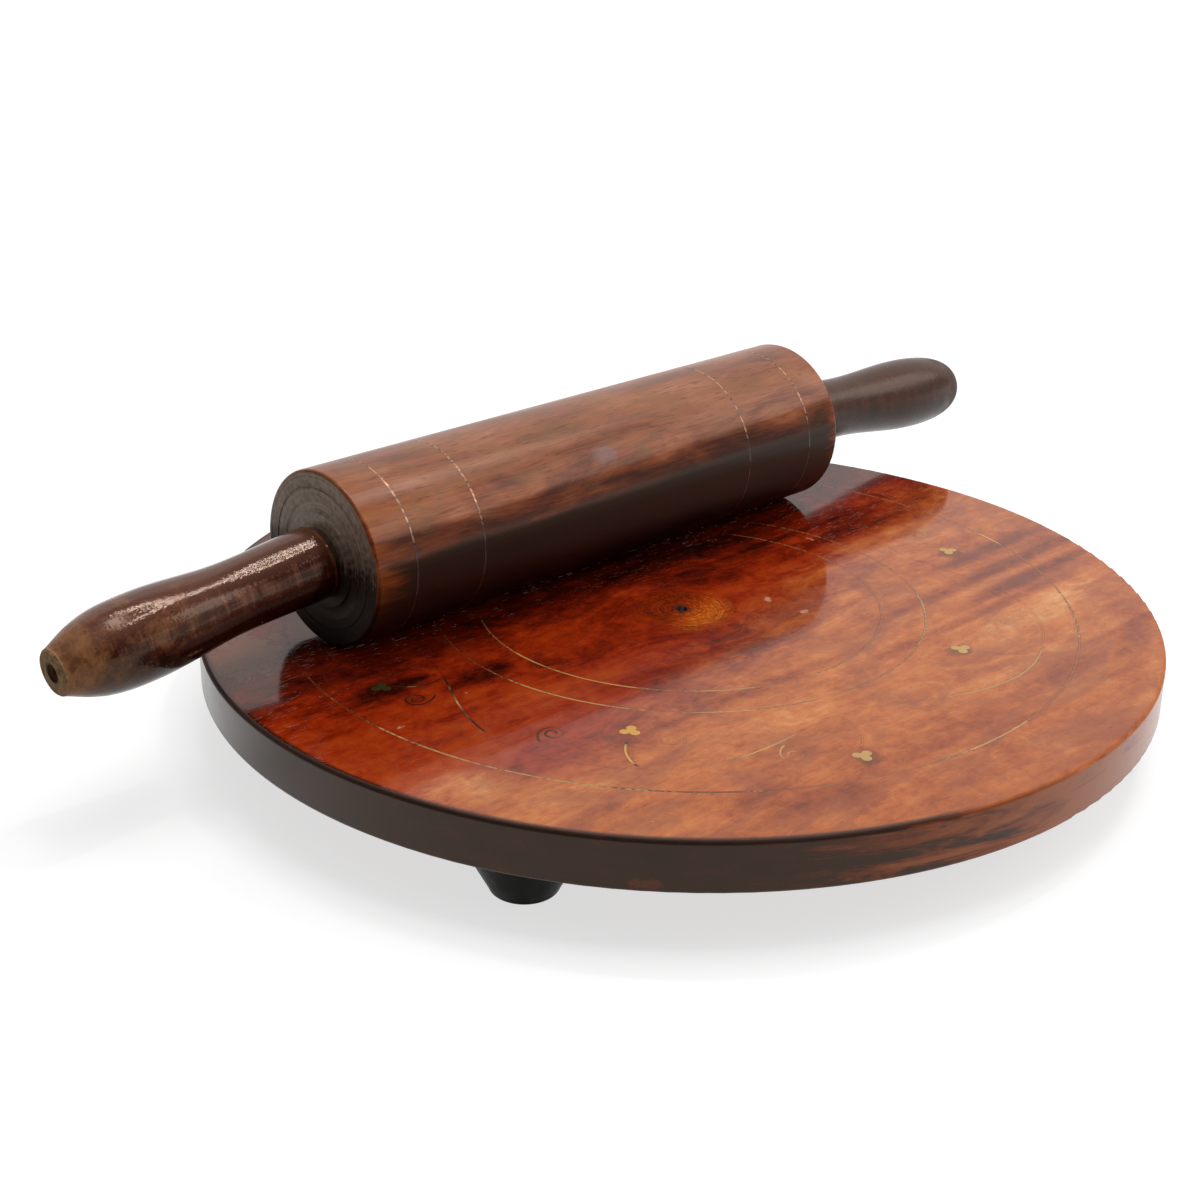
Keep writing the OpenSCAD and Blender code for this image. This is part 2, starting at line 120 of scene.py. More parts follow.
class Tree:
    """The nodes of a material or the world, each added by a short call."""

    # A spot's half height, so large that the spot goes through the whole piece
    THROUGH = 1e6

    def __init__(self, owner):
        owner.use_nodes = True
        self.nodes = owner.node_tree.nodes
        self.links = owner.node_tree.links

    def add(self, kind, inputs, **settings):
        """Adds a node, sets it up, and feeds its inputs, which are given by name or number."""
        node = self.nodes.new(kind)
        for name, value in settings.items():
            setattr(node, name, value)
        for key, value in inputs.items():
            self.feed(node.inputs[key], value)
        return node

    def feed(self, socket, value):
        """Gives a socket a field, a number, a vector or a colour that is written as in srgb."""
        if isinstance(value, Field):
            self.links.new(value.socket, socket)
        elif isinstance(value, str):
            socket.default_value = srgb(value)
        else:
            socket.default_value = value

    def field(self, node, output=0):
        return Field(self, node.outputs[output])

    def number(self, operation, *values):
        return self.field(self.add("ShaderNodeMath", dict(enumerate(values)), operation=operation))

    def larger(self, a, b):
        return self.number("MAXIMUM", a, b)

    def vector(self, x, y, z):
        return self.field(self.add("ShaderNodeCombineXYZ", {0: x, 1: y, 2: z}))

    def vector_math(self, operation, *values, output=0):
        node = self.add("ShaderNodeVectorMath", dict(enumerate(values)), operation=operation)
        return self.field(node, output)

    def parts(self, vector):
        node = self.add("ShaderNodeSeparateXYZ", {0: vector})
        return [self.field(node, i) for i in range(3)]

    def length(self, *parts):
        parts = list(parts) + [0] * (3 - len(parts))
        return self.vector_math("LENGTH", self.vector(*parts), output=1)

    def place(self):
        """The point on the surface, in millimetres in the model's frame at rest."""
        coordinates = self.field(self.add("ShaderNodeTexCoord", {}), "Object")
        return self.vector_math("MULTIPLY", coordinates, (1 / MM,) * 3)

    def step(self, value, low, high, a=0.0, b=1.0):
        """A smooth step from a to b while the value goes from low to high."""
        inputs = {"Value": value, "From Min": low, "From Max": high, "To Min": a, "To Max": b}
        return self.field(self.add("ShaderNodeMapRange", inputs, interpolation_type="SMOOTHSTEP"))

    def noise(self, place, size, detail=2.0, roughness=0.5, distortion=0.0):
        """Noise from 0 to 1, with features of that size. The size may differ along X, Y and Z."""
        if not isinstance(size, (int, float)):
            place = self.vector_math("DIVIDE", place, tuple(size))
            size = 1
        inputs = {
            "Vector": place, "Scale": 1 / size, "Detail": detail, "Roughness": roughness,
            "Distortion": distortion,
        }
        return self.field(self.add("ShaderNodeTexNoise", inputs))

    def figure(self, *shares):
        """A value that swings round 0.5, made of noises with a weight each."""
        total = 0.5
        for noise, weight in shares:
            total = total + (noise - 0.5) * weight
        return total

    def specks(self, place, spacing, radius, share):
        """Round specks up to that radius, in that share of the cells that a point pattern makes."""
        node = self.add("ShaderNodeTexVoronoi", {"Vector": place, "Scale": 1 / spacing})
        chance, size, _ = self.parts(self.field(node, "Color"))
        spread = self.field(node, "Distance") * spacing / (size * radius + radius * 0.3)
        return self.step(spread, 1, 0.7) * self.step(chance, share, share - 0.02)

    def mix(self, factor, a, b):
        """From colour a at factor 0 to colour b at factor 1."""
        node = self.add("ShaderNodeMix", {0: factor, 6: a, 7: b}, data_type="RGBA")
        return self.field(node, 2)

    def ramp(self, value, stops):
        """The colour at that value, between stops of a value and a colour each."""
        node = self.add("ShaderNodeValToRGB", {0: value})
        elements = node.color_ramp.elements
        while len(elements) < len(stops):
            elements.new(0.5)
        for element, (at, colour) in zip(elements, stops):
            element.position = at
            element.color = srgb(colour)
        return self.field(node)

    def spots(self, place, marks):
        """The sum of soft oval spots: x, y, half length, half width, turn in degrees and strength."""
        total = 0
        for x, y, half_length, half_width, turn, strength in marks:
            node = self.add("ShaderNodeMapping", {
                "Vector": place, "Location": (x, y, 0), "Rotation": (0, 0, math.radians(turn)),
                "Scale": (half_length, half_width, self.THROUGH),
            }, vector_type="TEXTURE")
            spread = self.vector_math("LENGTH", self.field(node), output=1)
            total = self.step(spread, 1, 0.2, 0, strength) + total
        return total

    def bump(self, height, distance, normal=None):
        """A normal bent by a height from 0 to 1, where 1 stands that many millimetres proud."""
        inputs = {"Height": height, "Distance": distance * MM, "Strength": 1.0}
        if normal:
            inputs["Normal"] = normal
        return self.field(self.add("ShaderNodeBump", inputs))


class Finish(Tree):
    """A material with the usual shader."""

    def __init__(self, name):
        self.material = bpy.data.materials.new(name)
        super().__init__(self.material)
        self.shader = self.nodes["Principled BSDF"]

    def set(self, **inputs):
        for name, value in inputs.items():
            self.feed(self.shader.inputs[name.replace("_", " ")], value)

    def put_on(self, *names):
        for name in names:
            nodes[name].data.materials.clear()
            nodes[name].data.materials.append(self.material)


# The old lacquer tints what it mirrors, and dry or worn wood mirrors less
LACQUER = "#ffdcc4"
DRY_GLOSS = 0.05
SOFT_GLOSS = 0.34
WOOD_IOR = 1.5

# The board: its corners, radius and top, then the middle of its knot and the knot's radius
BOARD_LOW, BOARD_HIGH = millimetres("board_disc")
BOARD_R = BOARD_HIGH.x
BOARD_TOP = BOARD_HIGH.z
PITH_X = -2.3
PITH_Y = -3
KNOT_R = 13

# Distances in from the board's rim where a change of its looks begins and is complete
RIM_SIDE = (0.9, 0.3)
# The band along the rim for the painted shade on the left arris
SHADED_EDGE = (2.4, 1)
ROUGH_RIM = (1.2, 0.7)

# The same, down from its top
RIM_TOP = (0.9, 0.15)
WORN_ARRIS = (1.6, 0.5)
ROUGH_TOP = (1.4, 0.5)

# The same, up from its underside
UNDERSIDE = (0.6, 0.1)

# The same, as the cosine of the angle from +X round the rim. The flames grow paler towards +X as
# painted light, and the end grain on the left is darkened as painted shade.
RIM_LIT_FLAMES = (-0.45, 0.1)
RIM_SHADED_END_GRAIN = (-0.4, -0.58)

# The same as places on the board: the first two along X, then one along Y, one forwards and a little to
# the right, and one out from the middle
# Where the painted shade on the left edge fades out
SHADED_LEFT = (0, -30)
# Worn arris on the right, partly a painted highlight
WORN_AND_LIT_RIGHT = (-60, -35)
# Behind the pin the heartwood is darkened as the pin's painted shadow
PIN_SHADOW_BAND = (0, 28)
HEART_ENDS = (14, 44)
HAZY_RIM = (90, 124)

# The same round the knot: past its radius, forwards of its middle, and as the radius of its pith
KNOT_EDGE = (3, -6)
KNOT_FRONT = (-4, 9)
PITH_EDGE = (5, 3)

# Marks on the board's face: x, y, half length, half width, turn and strength
FACE_MARKS = [
    (-108, -32, 26, 14, 0, 0.16), (70, -67, 44, 11, 4, 0.2), (78, -42, 70, 4.6, 2, -0.3),
    (86, -51, 60, 4.4, 3, -0.3), (50, -58, 70, 3.4, 0, -0.2), (96, -31, 44, 4.4, 0, -0.22),
    (0, -33, 60, 4, 0, -0.1), (-68, 1, 16, 6, 10, -0.3), (-86, 10, 10, 1.8, -5, -0.3),
    (-20, -50, 60, 4, -2, -0.2), (20, -95, 70, 6, 4, -0.12), (-60, -92, 30, 10, -30, -0.2),
    (60, 14, 60, 2, 0, -0.14), (80, 5, 40, 5, 0, -0.1), (30, 22, 60, 8, 0, -0.1),
    (-60, -18, 36, 8, 0, 0.14), (20, -2, 36, 5, 0, 0.08), (-40, -66, 40, 8, -4, 0.08),
    (-20, -95, 40, 10, 6, -0.08), (30, -34, 26, 3, 8, 0.16), (-62, -28, 28, 10, 0, 0.15),
    (-112, -40, 20, 12, -60, 0.08), (-4, 14, 14, 6, 0, 0.12), (70, -96, 40, 6, 30, -0.16),
    (-90, 10, 14, 8, 0, -0.12), (96, 30, 30, 16, 0, -0.1),
]

# Single places on the board, written the same way: a patch of the paler wood by the left rim, partly
# painted sheen, a dull bloom behind it that is partly painted sheen too, the dry fleck in the pith, and
# a knock on the rim, which starts with x and z
PALE_PATCH = [(-108, -46, 32, 18, -60, 30)]
BLOOM_AND_SHEEN = [(-106, 50, 24, 18, 60, 1.4)]
PITH_FLECK = [(PITH_X + 0.5, PITH_Y + 0.4, 1.5, 0.8, 20, 1)]
RIM_KNOCK = [(-95, 16.6, 5, 2.6, 0, 1)]

# Small pale chips in the board's lacquer
CHIPS = [
    (20, -14, 3.6, 1.9, 50, 1), (21, -26, 3.4, 1.7, 30, 1), (-101, -8, 4, 1.2, 0, 0.8),
    (-55, -3, 1.2, 0.8, 0, 0.8), (-78, -4, 1.2, 0.8, 0, 0.8), (62, 8, 1.4, 3, 10, 0.8),
]

# Where dirt and painted shade lie round the leaves
LEAF_DIRT_AND_SHADE = [
    (-31.3, -91.2, 6.6, 6.2, 0, 1), (32, -68.9, 6.8, 5.6, 0, 1), (84, -26, 6.8, 5.6, 0, 1),
]

# The board's colours, each row from the dark of its figure to the pale
# The heart and outer rows are partly shaded and lit copies of the plank: the pin's painted shadow and
# the front's painted sheen
HEART_STOPS = [
    (0.16, "#300803"), (0.36, "#6c1805"), (0.5, "#902808"), (0.62, "#9c370e"), (0.84, "#b24a16"),
]
OUTER_STOPS = [
    (0.14, "#6c2610"), (0.34, "#9b471a"), (0.5, "#b66029"), (0.64, "#c67336"), (0.86, "#d89c5e"),
]
KNOT_STOPS = [(0.36, "#541606"), (0.48, "#8a2e09"), (0.58, "#b45212"), (0.68, "#d48c34")]
FLAME_STOPS = [(0.40, "#1b0b07"), (0.47, "#40190d"), (0.54, "#8a3b1a"), (0.68, "#b06034")]
RIM_END_STOPS = [(0.35, "#120604"), (0.6, "#270f09"), (0.8, "#4a1e12")]
UNDER_STOPS = [(0.3, "#2e150b"), (0.5, "#54301c"), (0.7, "#7a4c2e")]


def near_rim(n, wood, band):
    """A smooth step from 0 to 1 through that band of distances in from the board's rim."""
    return n.step(wood.outward, BOARD_R - band[0], BOARD_R - band[1])


def near_top(n, wood, band):
    """A smooth step from 0 to 1 through that band of distances down from the board's top."""
    return n.step(wood.z, BOARD_TOP - band[0], BOARD_TOP - band[1])


def board_figure(n, place):
    """What the board's finishes share: where a point lies, and the figure of the wood there.

    The grain runs along X and parts round the knot, as water does round a post.
    """
    x, y, z = n.parts(place)
    along = x - PITH_X
    across = y - PITH_Y
    reach = n.length(along, across)
    bend = (KNOT_R / n.larger(reach, KNOT_R)) ** 2
    waves = n.noise(place, (120, 60, 40), 2)
    grain = n.vector(along * (1 + bend), across * (1 - bend) + waves * 14, z)
    return SimpleNamespace(
        place=place, x=x, y=y, z=z, outward=n.length(x, y),
        along=along, across=across, reach=reach, grain=grain,
        cloud=n.noise(grain, (20, 11, 10), 6, 0.66, 0.5),
        blotch=n.noise(place, (5.5, 4.4, 4), 6, 0.75, 0.6),
        streak=n.noise(grain, (70, 3, 3), 3, 0.6),
        fibre=n.noise(grain, (12, 0.7, 0.7), 3, 0.6),
        pores=n.step(n.noise(grain, (4, 0.33, 0.33), 1), 0.66, 0.74),
        pith=n.step(reach + n.noise(place, 2, 3) * 4, *PITH_EDGE),
    )


def board_plank(n, wood):
    """The plank's colour: red heartwood towards the back, darkened further behind the pin as its
    painted shadow, and paler, hazier wood in front of it, which is partly the wood's tone and partly
    painted sheen.
    """
    tone = n.noise(wood.grain, (150, 30, 20), 3, 0.55)
    shade = n.figure(
        (tone, 0.5), (wood.cloud, 0.7), (wood.blotch, 0.6), (wood.streak, 0.22), (wood.fibre, 0.14),
    )
    shade = shade + n.spots(wood.place, FACE_MARKS)
    # Painted shadow: the heartwood darkens behind the pin
    heart = n.ramp(shade + n.step(wood.y, *PIN_SHADOW_BAND, 0, -0.18), HEART_STOPS)
    haze = n.noise(wood.grain, (30, 15, 14), 5, 0.65, 0.8)
    haze = n.step(haze, 0.44, 0.62, 0, 0.45) + n.step(wood.outward, *HAZY_RIM, 0, 0.05)
    outer = n.mix(haze, n.ramp(shade, OUTER_STOPS), "#84422f")
    # The paler front is partly the wood's tone and partly painted sheen where the lacquer mirrors the
    # light
    forward = wood.x * 0.3 - wood.y + (wood.cloud - 0.5) * 30 + n.spots(wood.place, PALE_PATCH)
    return n.mix(n.step(forward, *HEART_ENDS), heart, outer)


def board_knot(n, wood, colour):
    """Lays the knot over the plank's colour, with its dark pith and the dry fleck in that."""
    wobble = n.noise(wood.place, 5, 3) * 4
    rings = n.noise(n.vector(wood.reach + wobble, 0, 0), 0.7, 2)
    flecks = n.noise(wood.place, 1.3, 3, 0.65)
    front = n.step(wood.along * 0.4 - wood.across, *KNOT_FRONT)
    figure = rings * 0.36 + flecks * 0.34 + wood.cloud * 0.12 + front * 0.18
    ragged = wood.reach + (wood.cloud - 0.5) * 12
    inside = n.step(ragged, KNOT_R + KNOT_EDGE[0], KNOT_R + KNOT_EDGE[1])
    colour = n.mix(inside * 0.9, colour, n.ramp(figure, KNOT_STOPS))
    colour = n.mix(wood.pith, colour, "#120906")
    return n.mix(n.spots(wood.place, PITH_FLECK) * 0.7, colour, "#7d7f8c")


def board_face(n, wood):
    """The colour of the board's top. Brass that is worn away takes it too."""
    colour = board_knot(n, wood, board_plank(n, wood))
    colour = n.mix(wood.pores * 0.3, colour, "#2a0e06")
    # A pale cloudy patch: dull lacquer bloom, partly painted sheen
    bloom_and_sheen = n.spots(wood.place, BLOOM_AND_SHEEN) - n.step(wood.blotch, 0.46, 0.58, 0, 0.8)
    return n.mix(n.step(bloom_and_sheen, 0.1, 0.9, 0, 0.75), colour, "#8b5a42")


def board_wear(n, wood, chips, colour):
    """Lays chips, dust, dirt with painted shade round the leaves, and painted shade along the left
    edge, over the top's colour.
    """
    # Pale specks of dust
    dust_and_painted_light = n.specks(wood.place, 9, 0.5, 0.12)
    colour = n.mix(n.larger(chips * 0.5, dust_and_painted_light * 0.3), colour, "#c89a86")
    # Dirt, and painted shade round the leaves
    dirt_and_shade = n.spots(wood.place, LEAF_DIRT_AND_SHADE) + n.noise(wood.place, 2.2, 3, 0.7) * 1.2
    colour = n.mix(n.step(dirt_and_shade, 0.9, 1.6) * 0.55, colour, "#3e2410")
    # Painted shade along the left edge of the top
    left = n.step(wood.x + n.noise(wood.place, 12, 3) * 40, *SHADED_LEFT)
    return n.mix(near_rim(n, wood, SHADED_EDGE) * left, colour, "#2a0f08")


def board_rim(n, wood):
    """The colour of the board's side: flamed and paler towards +X as painted light, dark end grain on
    the left darkened further as painted shade, and worn at the arris on the right, partly as a painted
    highlight.
    """
    facing = wood.x / wood.outward
    flame = n.noise(n.vector(wood.x, wood.y * 0.3, wood.z + wood.x * 0.03), (30, 30, 4.2), 4, 0.6, 0.8)
    # Painted light: the flames pale towards +X
    flame = flame + n.step(facing, *RIM_LIT_FLAMES, 0, 0.2)
    flames = n.ramp(flame + (wood.fibre - 0.5) * 0.14, FLAME_STOPS)
    dark = n.noise(wood.place, (9, 9, 3), 3) + (wood.streak - 0.5) * 0.3
    ragged = (n.noise(wood.place, (20, 20, 3), 3) - 0.5) * 0.5
    # End grain on the left, darkened as painted shade
    colour = n.mix(n.step(facing + ragged, *RIM_SHADED_END_GRAIN), flames, n.ramp(dark, RIM_END_STOPS))

    worn = n.step(n.noise(wood.place, (9, 9, 1.5), 3), 0.52, 0.66)
    # The worn arris shows on the right only, partly as a painted highlight
    arris = near_top(n, wood, WORN_ARRIS) * worn * n.step(wood.x, *WORN_AND_LIT_RIGHT)
    colour = n.mix(arris * 0.8, colour, "#b25a22")
    knock = n.spots(n.vector(wood.x, wood.z, 0), RIM_KNOCK) * n.step(wood.y, 0, -10)
    knock = n.step(knock + n.noise(wood.place, 2.6, 4, 0.7) * 2, 1.6, 1.9)
    return n.mix(knock * 0.55, colour, "#8a3c20")


def board_wood():
    """The board's finish: its face, its rim and its dry underside, under old lacquer."""
    n = Finish("board_wood")
    wood = board_figure(n, n.place())
    chips = n.spots(wood.place, CHIPS)
    chips = n.step(chips + n.noise(wood.place, 1.6, 3, 0.6) * 2, 1.7, 1.9)
    side = near_rim(n, wood, RIM_SIDE)
    top = near_top(n, wood, RIM_TOP)
    under = n.step(wood.z, BOARD_LOW.z + UNDERSIDE[0], BOARD_LOW.z + UNDERSIDE[1])
    face = board_wear(n, wood, chips, board_face(n, wood))
    colour = n.mix(side * (1 - top), face, board_rim(n, wood))
    colour = n.mix(under * 0.7, colour, n.ramp(wood.streak * 0.6 + wood.fibre * 0.4, UNDER_STOPS))

    polish = n.step(n.noise(wood.place, (30, 18, 12), 3, 0.6), 0.35, 0.75, 0.04, 0.1)
    corner = near_top(n, wood, ROUGH_TOP) * near_rim(n, wood, ROUGH_RIM)
    roughness = polish + wood.fibre * 0.03 + chips * 0.4 + side * 0.14 + corner * 0.6
    roughness = roughness + wood.pith * 0.4 + under * 0.4
    bumps = n.bump(wood.fibre, 0.008)
    bumps = n.bump(n.noise(wood.place, (45, 22, 20), 2), 0.06, bumps)
    bumps = n.bump(wood.pores, -0.015, bumps)
    n.set(Base_Color=colour, Roughness=roughness, Normal=bumps, IOR=WOOD_IOR, Specular_Tint=LACQUER)
    n.put_on("board_disc")


# The feet
FOOT_STOPS = [(0.3, "#060705"), (0.5, "#0f110d"), (0.7, "#24221b")]


def foot_wood():
    """The feet's finish: dark turned wood, worn paler in places."""
    n = Finish("foot_wood")
    place = n.place()
    _, _, z = n.parts(place)
    grain = n.noise(place, (4, 4, 14), 4, 0.6)
    turning = n.noise(n.vector(0, 0, z), 0.6, 2)
    colour = n.ramp(grain * 0.8 + turning * 0.2, FOOT_STOPS)
    worn = n.step(n.noise(place, 3.4, 3), 0.62, 0.72)
    colour = n.mix(worn * 0.5, colour, "#5b5a50")
    roughness = n.step(grain, 0.3, 0.7, 0.3, 0.5)
    bumps = n.bump(turning, 0.03)
    n.set(Base_Color=colour, Roughness=roughness, Normal=bumps, Specular_IOR_Level=DRY_GLOSS)
    n.put_on("front_foot", "right_foot", "back_foot")


# The barrel: its axis and radius, and its end faces, which lie a boss's height inside its box
BARREL_LOW, BARREL_HIGH = millimetres("barrel")
AXIS_Y = (BARREL_LOW.y + BARREL_HIGH.y) / 2
AXIS_Z = (BARREL_LOW.z + BARREL_HIGH.z) / 2
BARREL_R = (BARREL_HIGH.z - BARREL_LOW.z) / 2
BOSS_H = 0.6
END_LEFT = BARREL_LOW.x + BOSS_H
END_RIGHT = BARREL_HIGH.x - BOSS_H

# Heights above the barrel's axis between which a change of its looks begins and is complete. The first
# three bands paint light and shade round the barrel: the lit top, a pale sheen along its crest, and the
# shade that makes its lower front nearly black.
LIT_TOP = (2, 16)
SHEEN_CREST = (12, 20)
PAINTED_SHADE_BAND = (4.8, 2.8)
SAP_HEIGHT = (-11, 1)
SAP_SUNK = (8, 20)
# The end faces are painted lighter above and darker below, as light and shade
END_LIT_ABOVE = (-10, 12)
DULL_ABOVE = (9, 18)
DULL_BELOW = (4.5, 2.5)
RINGS_BRIGHT_ABOVE = (2, 12)

# Distances from an end face where the sapwood begins and is full, then the same of the end's own finish
LEFT_SAP = (22, 12)
RIGHT_SAP = (17, 11)
END_FINISH = (1.4, 0.8)

# Distances in from the barrel's round where the finish of an end face begins and is complete
END_RIM = (0.5, 1)

# The bluish spot on the barrel's front, which starts with x and z
BARREL_STAIN = [(-6, 65, 7, 3.6, 0, 1)]

# The barrel's colours, each row from the dark of its figure to the pale. The first two rows are shaded
# and lit copies of one wood: painted shade on the flanks and painted light on the top.
SHADED_FLANK_STOPS = [
    (0.2, "#150806"), (0.38, "#250e08"), (0.52, "#3f160b"), (0.66, "#64260f"), (0.85, "#803817"),
]
LIT_TOP_STOPS = [
    (0.24, "#2e0f08"), (0.4, "#642510"), (0.52, "#8f4724"), (0.66, "#ad6740"), (0.85, "#c8946c"),
]
SAP_STOPS = [(0.3, "#682808"), (0.5, "#904516"), (0.7, "#ac6a30")]
# The end grain's pale greys partly stand for the sheen on the end faces: painted sheen over the wood's
# own grey
END_STOPS = [(0.2, "#0d0806"), (0.34, "#2b211b"), (0.47, "#87766a"), (0.6, "#bdaa98")]


def above_axis(n, height, band, a=0.0, b=1.0):
    """A smooth step from a to b while the height goes through that band above the barrel's axis."""
    return n.step(height, AXIS_Z + band[0], AXIS_Z + band[1], a, b)


def barrel_figure(n, place):
    """What the barrel's finishes share: where a point lies, and the figure of the wood there."""
    x, y, z = n.parts(place)
    reach = n.length(y - AXIS_Y, z - AXIS_Z)
    wave = n.noise(place, (70, 18, 18), 2)
    grain = n.vector(x, y + wave * 6, z + wave * 4)
    at_left = n.step(x, END_LEFT + END_FINISH[0], END_LEFT + END_FINISH[1])
    at_right = n.step(x, END_RIGHT - END_FINISH[0], END_RIGHT - END_FINISH[1])
    inside = n.step(reach, BARREL_R - END_RIM[0], BARREL_R - END_RIM[1])
    return SimpleNamespace(
        place=place, x=x, y=y, z=z, grain=grain,
        cloud=n.noise(grain, (26, 7, 7), 4, 0.62, 0.4),
        streak=n.noise(grain, (45, 2.6, 2.6), 4, 0.6),
        fibre=n.noise(grain, (12, 0.45, 0.45), 3, 0.6),
        turned=n.noise(n.vector(reach + n.noise(place, 7, 2) * 0.8, 0, 0), 0.8, 3, 0.6),
        face=n.larger(at_left, at_right) * inside,
    )


def barrel_round(n, wood):
    """The colour round the barrel, with painted light and shade: lit and paler above with a painted
    sheen on the crest, darker on the flanks, and nearly black below as painted shade.
    """
    tone = n.noise(wood.grain, (150, 11, 11), 3, 0.55)
    shade = n.figure((tone, 0.6), (wood.cloud, 0.6), (wood.streak, 0.3), (wood.fibre, 0.26))
    lit_top = n.ramp(shade, LIT_TOP_STOPS)
    # A pale sheen painted along the crest
    sheen_crest = above_axis(n, wood.z + (wood.cloud - 0.5) * 8, SHEEN_CREST, 0, 0.5)
    lit_top = n.mix(sheen_crest, lit_top, "#8c6450")
    ochre = n.step(n.noise(wood.place, (16, 7, 7), 4, 0.65), 0.5, 0.66, 0, 0.4)
    lit_top = n.mix(ochre, lit_top, "#7c5a34")
    # Painted light: the top takes the lit copy of the wood, the flanks the shaded one
    upper = above_axis(n, wood.z + (wood.cloud - 0.5) * 12, LIT_TOP)
    colour = n.mix(upper, n.ramp(shade, SHADED_FLANK_STOPS), lit_top)
    # Painted shade: the lower front turns nearly black
    painted_shade = above_axis(n, wood.z + (wood.cloud - 0.5) * 1.5, PAINTED_SHADE_BAND)
    colour = n.mix(painted_shade * 0.92, colour, "#0c0402")
    pores = n.step(n.noise(wood.grain, (5, 0.5, 0.5), 1), 0.62, 0.7)
    return n.mix(pores * 0.4, colour, "#1c0b07")


def barrel_sapwood(n, wood, colour):
    """Lays the paler sapwood over both ends of the barrel, with a ragged edge."""
    ragged = n.noise(wood.grain, (18, 3, 3), 4, 0.6) * 26
    left = n.step(wood.x - END_LEFT + ragged, *LEFT_SAP)
    right = n.step(END_RIGHT - wood.x + ragged, *RIGHT_SAP)
    sap = n.larger(left, right) * above_axis(n, wood.z, SAP_HEIGHT)
    sunk = above_axis(n, wood.z, SAP_SUNK, 0.75, 0.45)
    return n.mix(sap * sunk, colour, n.ramp(wood.streak * 0.7 + wood.fibre * 0.3, SAP_STOPS))


def barrel_ends(n, wood, colour):
    """Lays the end grain, with its turned rings, over the end faces, paler above and darker below as
    painted light and shade.
    """
    # Painted light and shade: paler above the axis, darker below
    dust_and_painted_light = above_axis(n, wood.z, END_LIT_ABOVE, -0.2, 0.16)
    figure = wood.turned * 0.5 + n.noise(wood.place, (3, 1.5, 1.5), 3) * 0.3 + dust_and_painted_light
    return n.mix(wood.face, colour, n.ramp(figure, END_STOPS))


def barrel_wood():
    """The barrel's finish: its round, its sapwood and its end faces, under old lacquer."""
    n = Finish("pin_wood")
    wood = barrel_figure(n, n.place())
    colour = barrel_ends(n, wood, barrel_sapwood(n, wood, barrel_round(n, wood)))
    colour = n.mix(n.specks(wood.place, 7, 0.4, 0.12) * 0.8, colour, "#d9cfc0")
    front = n.step(wood.y, AXIS_Y, AXIS_Y - 4)
    stain = n.spots(n.vector(wood.x, wood.z, 0), BARREL_STAIN) * front
    stain = n.step(stain + n.noise(wood.place, 2.4, 3, 0.7) * 1.4, 0.9, 1.7)
    colour = n.mix(stain * 0.38, colour, "#77747f")

    polish = n.step(n.noise(wood.place, (30, 14, 14), 3, 0.6), 0.3, 0.75, 0.08, 0.15)
    roughness = polish + wood.fibre * 0.06 + wood.face * 0.25
    roughness = above_axis(n, wood.z, DULL_ABOVE, 0, 0.16) + roughness
    roughness = above_axis(n, wood.z, DULL_BELOW, 0, 0.22) + roughness
    bumps = n.bump(wood.fibre, 0.01)
    bumps = n.bump(n.noise(wood.place, (60, 9, 9), 2), 0.05, bumps)
    bumps = n.bump(wood.turned * wood.face, 0.04, bumps)
    n.set(Base_Color=colour, Roughness=roughness, Normal=bumps, IOR=WOOD_IOR)
    n.set(Specular_IOR_Level=SOFT_GLOSS, Specular_Tint=LACQUER)
    n.put_on("barrel")


# Distances from a handle's root where a change of its looks begins and is complete
HANDLE_ROOT = (4.5, 2.5)
HANDLE_SWELL = (34, 54)

# The same, past its tip
HANDLE_TIP = (-4, 12)
HANDLE_END = (-1.1, -0.4)

# The same, out from its axis
HANDLE_HOLE = (2.9, 2.4)

# The same, up from its axis, for the painted shade below and the painted light above
HANDLE_SHADED_BELOW = (3, -6)
HANDLE_LIT_ABOVE = (3, 9)

# The handles' colours, each row from the dark of its figure to the pale
LEFT_HANDLE_STOPS = [(0.22, "#160806"), (0.42, "#2b100a"), (0.56, "#3c1910"), (0.72, "#8a5946")]
RIGHT_HANDLE_STOPS = [
    (0.22, "#140b09"), (0.42, "#281813"), (0.54, "#3c261e"), (0.64, "#553022"), (0.78, "#64402f"),
]
HANDLE_END_STOPS = [(0.35, "#74573e"), (0.6, "#b8946c")]


def handle_figure(n, node, seed):
    """What a handle's finishes share, laid out along its own axis, which is its joint's."""
    joint = joints[f"{node}_spin"]
    pivot = Vector(joint["pos_m"]) / MM
    axis = Vector(joint["axis"]).normalized()
    place = n.place()
    arm = n.vector_math("SUBTRACT", place, tuple(pivot))
    reach = n.vector_math("DOT_PRODUCT", arm, tuple(axis), output=1)
    out = n.vector_math("MULTIPLY_ADD", n.vector(reach, reach, reach), tuple(-axis), arm)
    _, sideways, upward = n.parts(out)
    length = max((vertex.co / MM - pivot).dot(axis) for vertex in nodes[node].data.vertices)
    ragged = n.noise(place, 5, 4, 0.7) * 26
    end = n.step(reach, length + HANDLE_END[0], length + HANDLE_END[1])
    return SimpleNamespace(
        place=place, reach=reach, sideways=sideways, upward=upward,
        grain=n.vector(reach + seed * 50, sideways, upward),
        turning=n.noise(n.vector(reach + seed * 9, 0, 0), 0.75, 3, 0.7),
        tip=n.step(reach + ragged, length + HANDLE_TIP[0], length + HANDLE_TIP[1]),
        end=end,
        hole=n.step(n.vector_math("LENGTH", out, output=1), *HANDLE_HOLE) * end,
    )


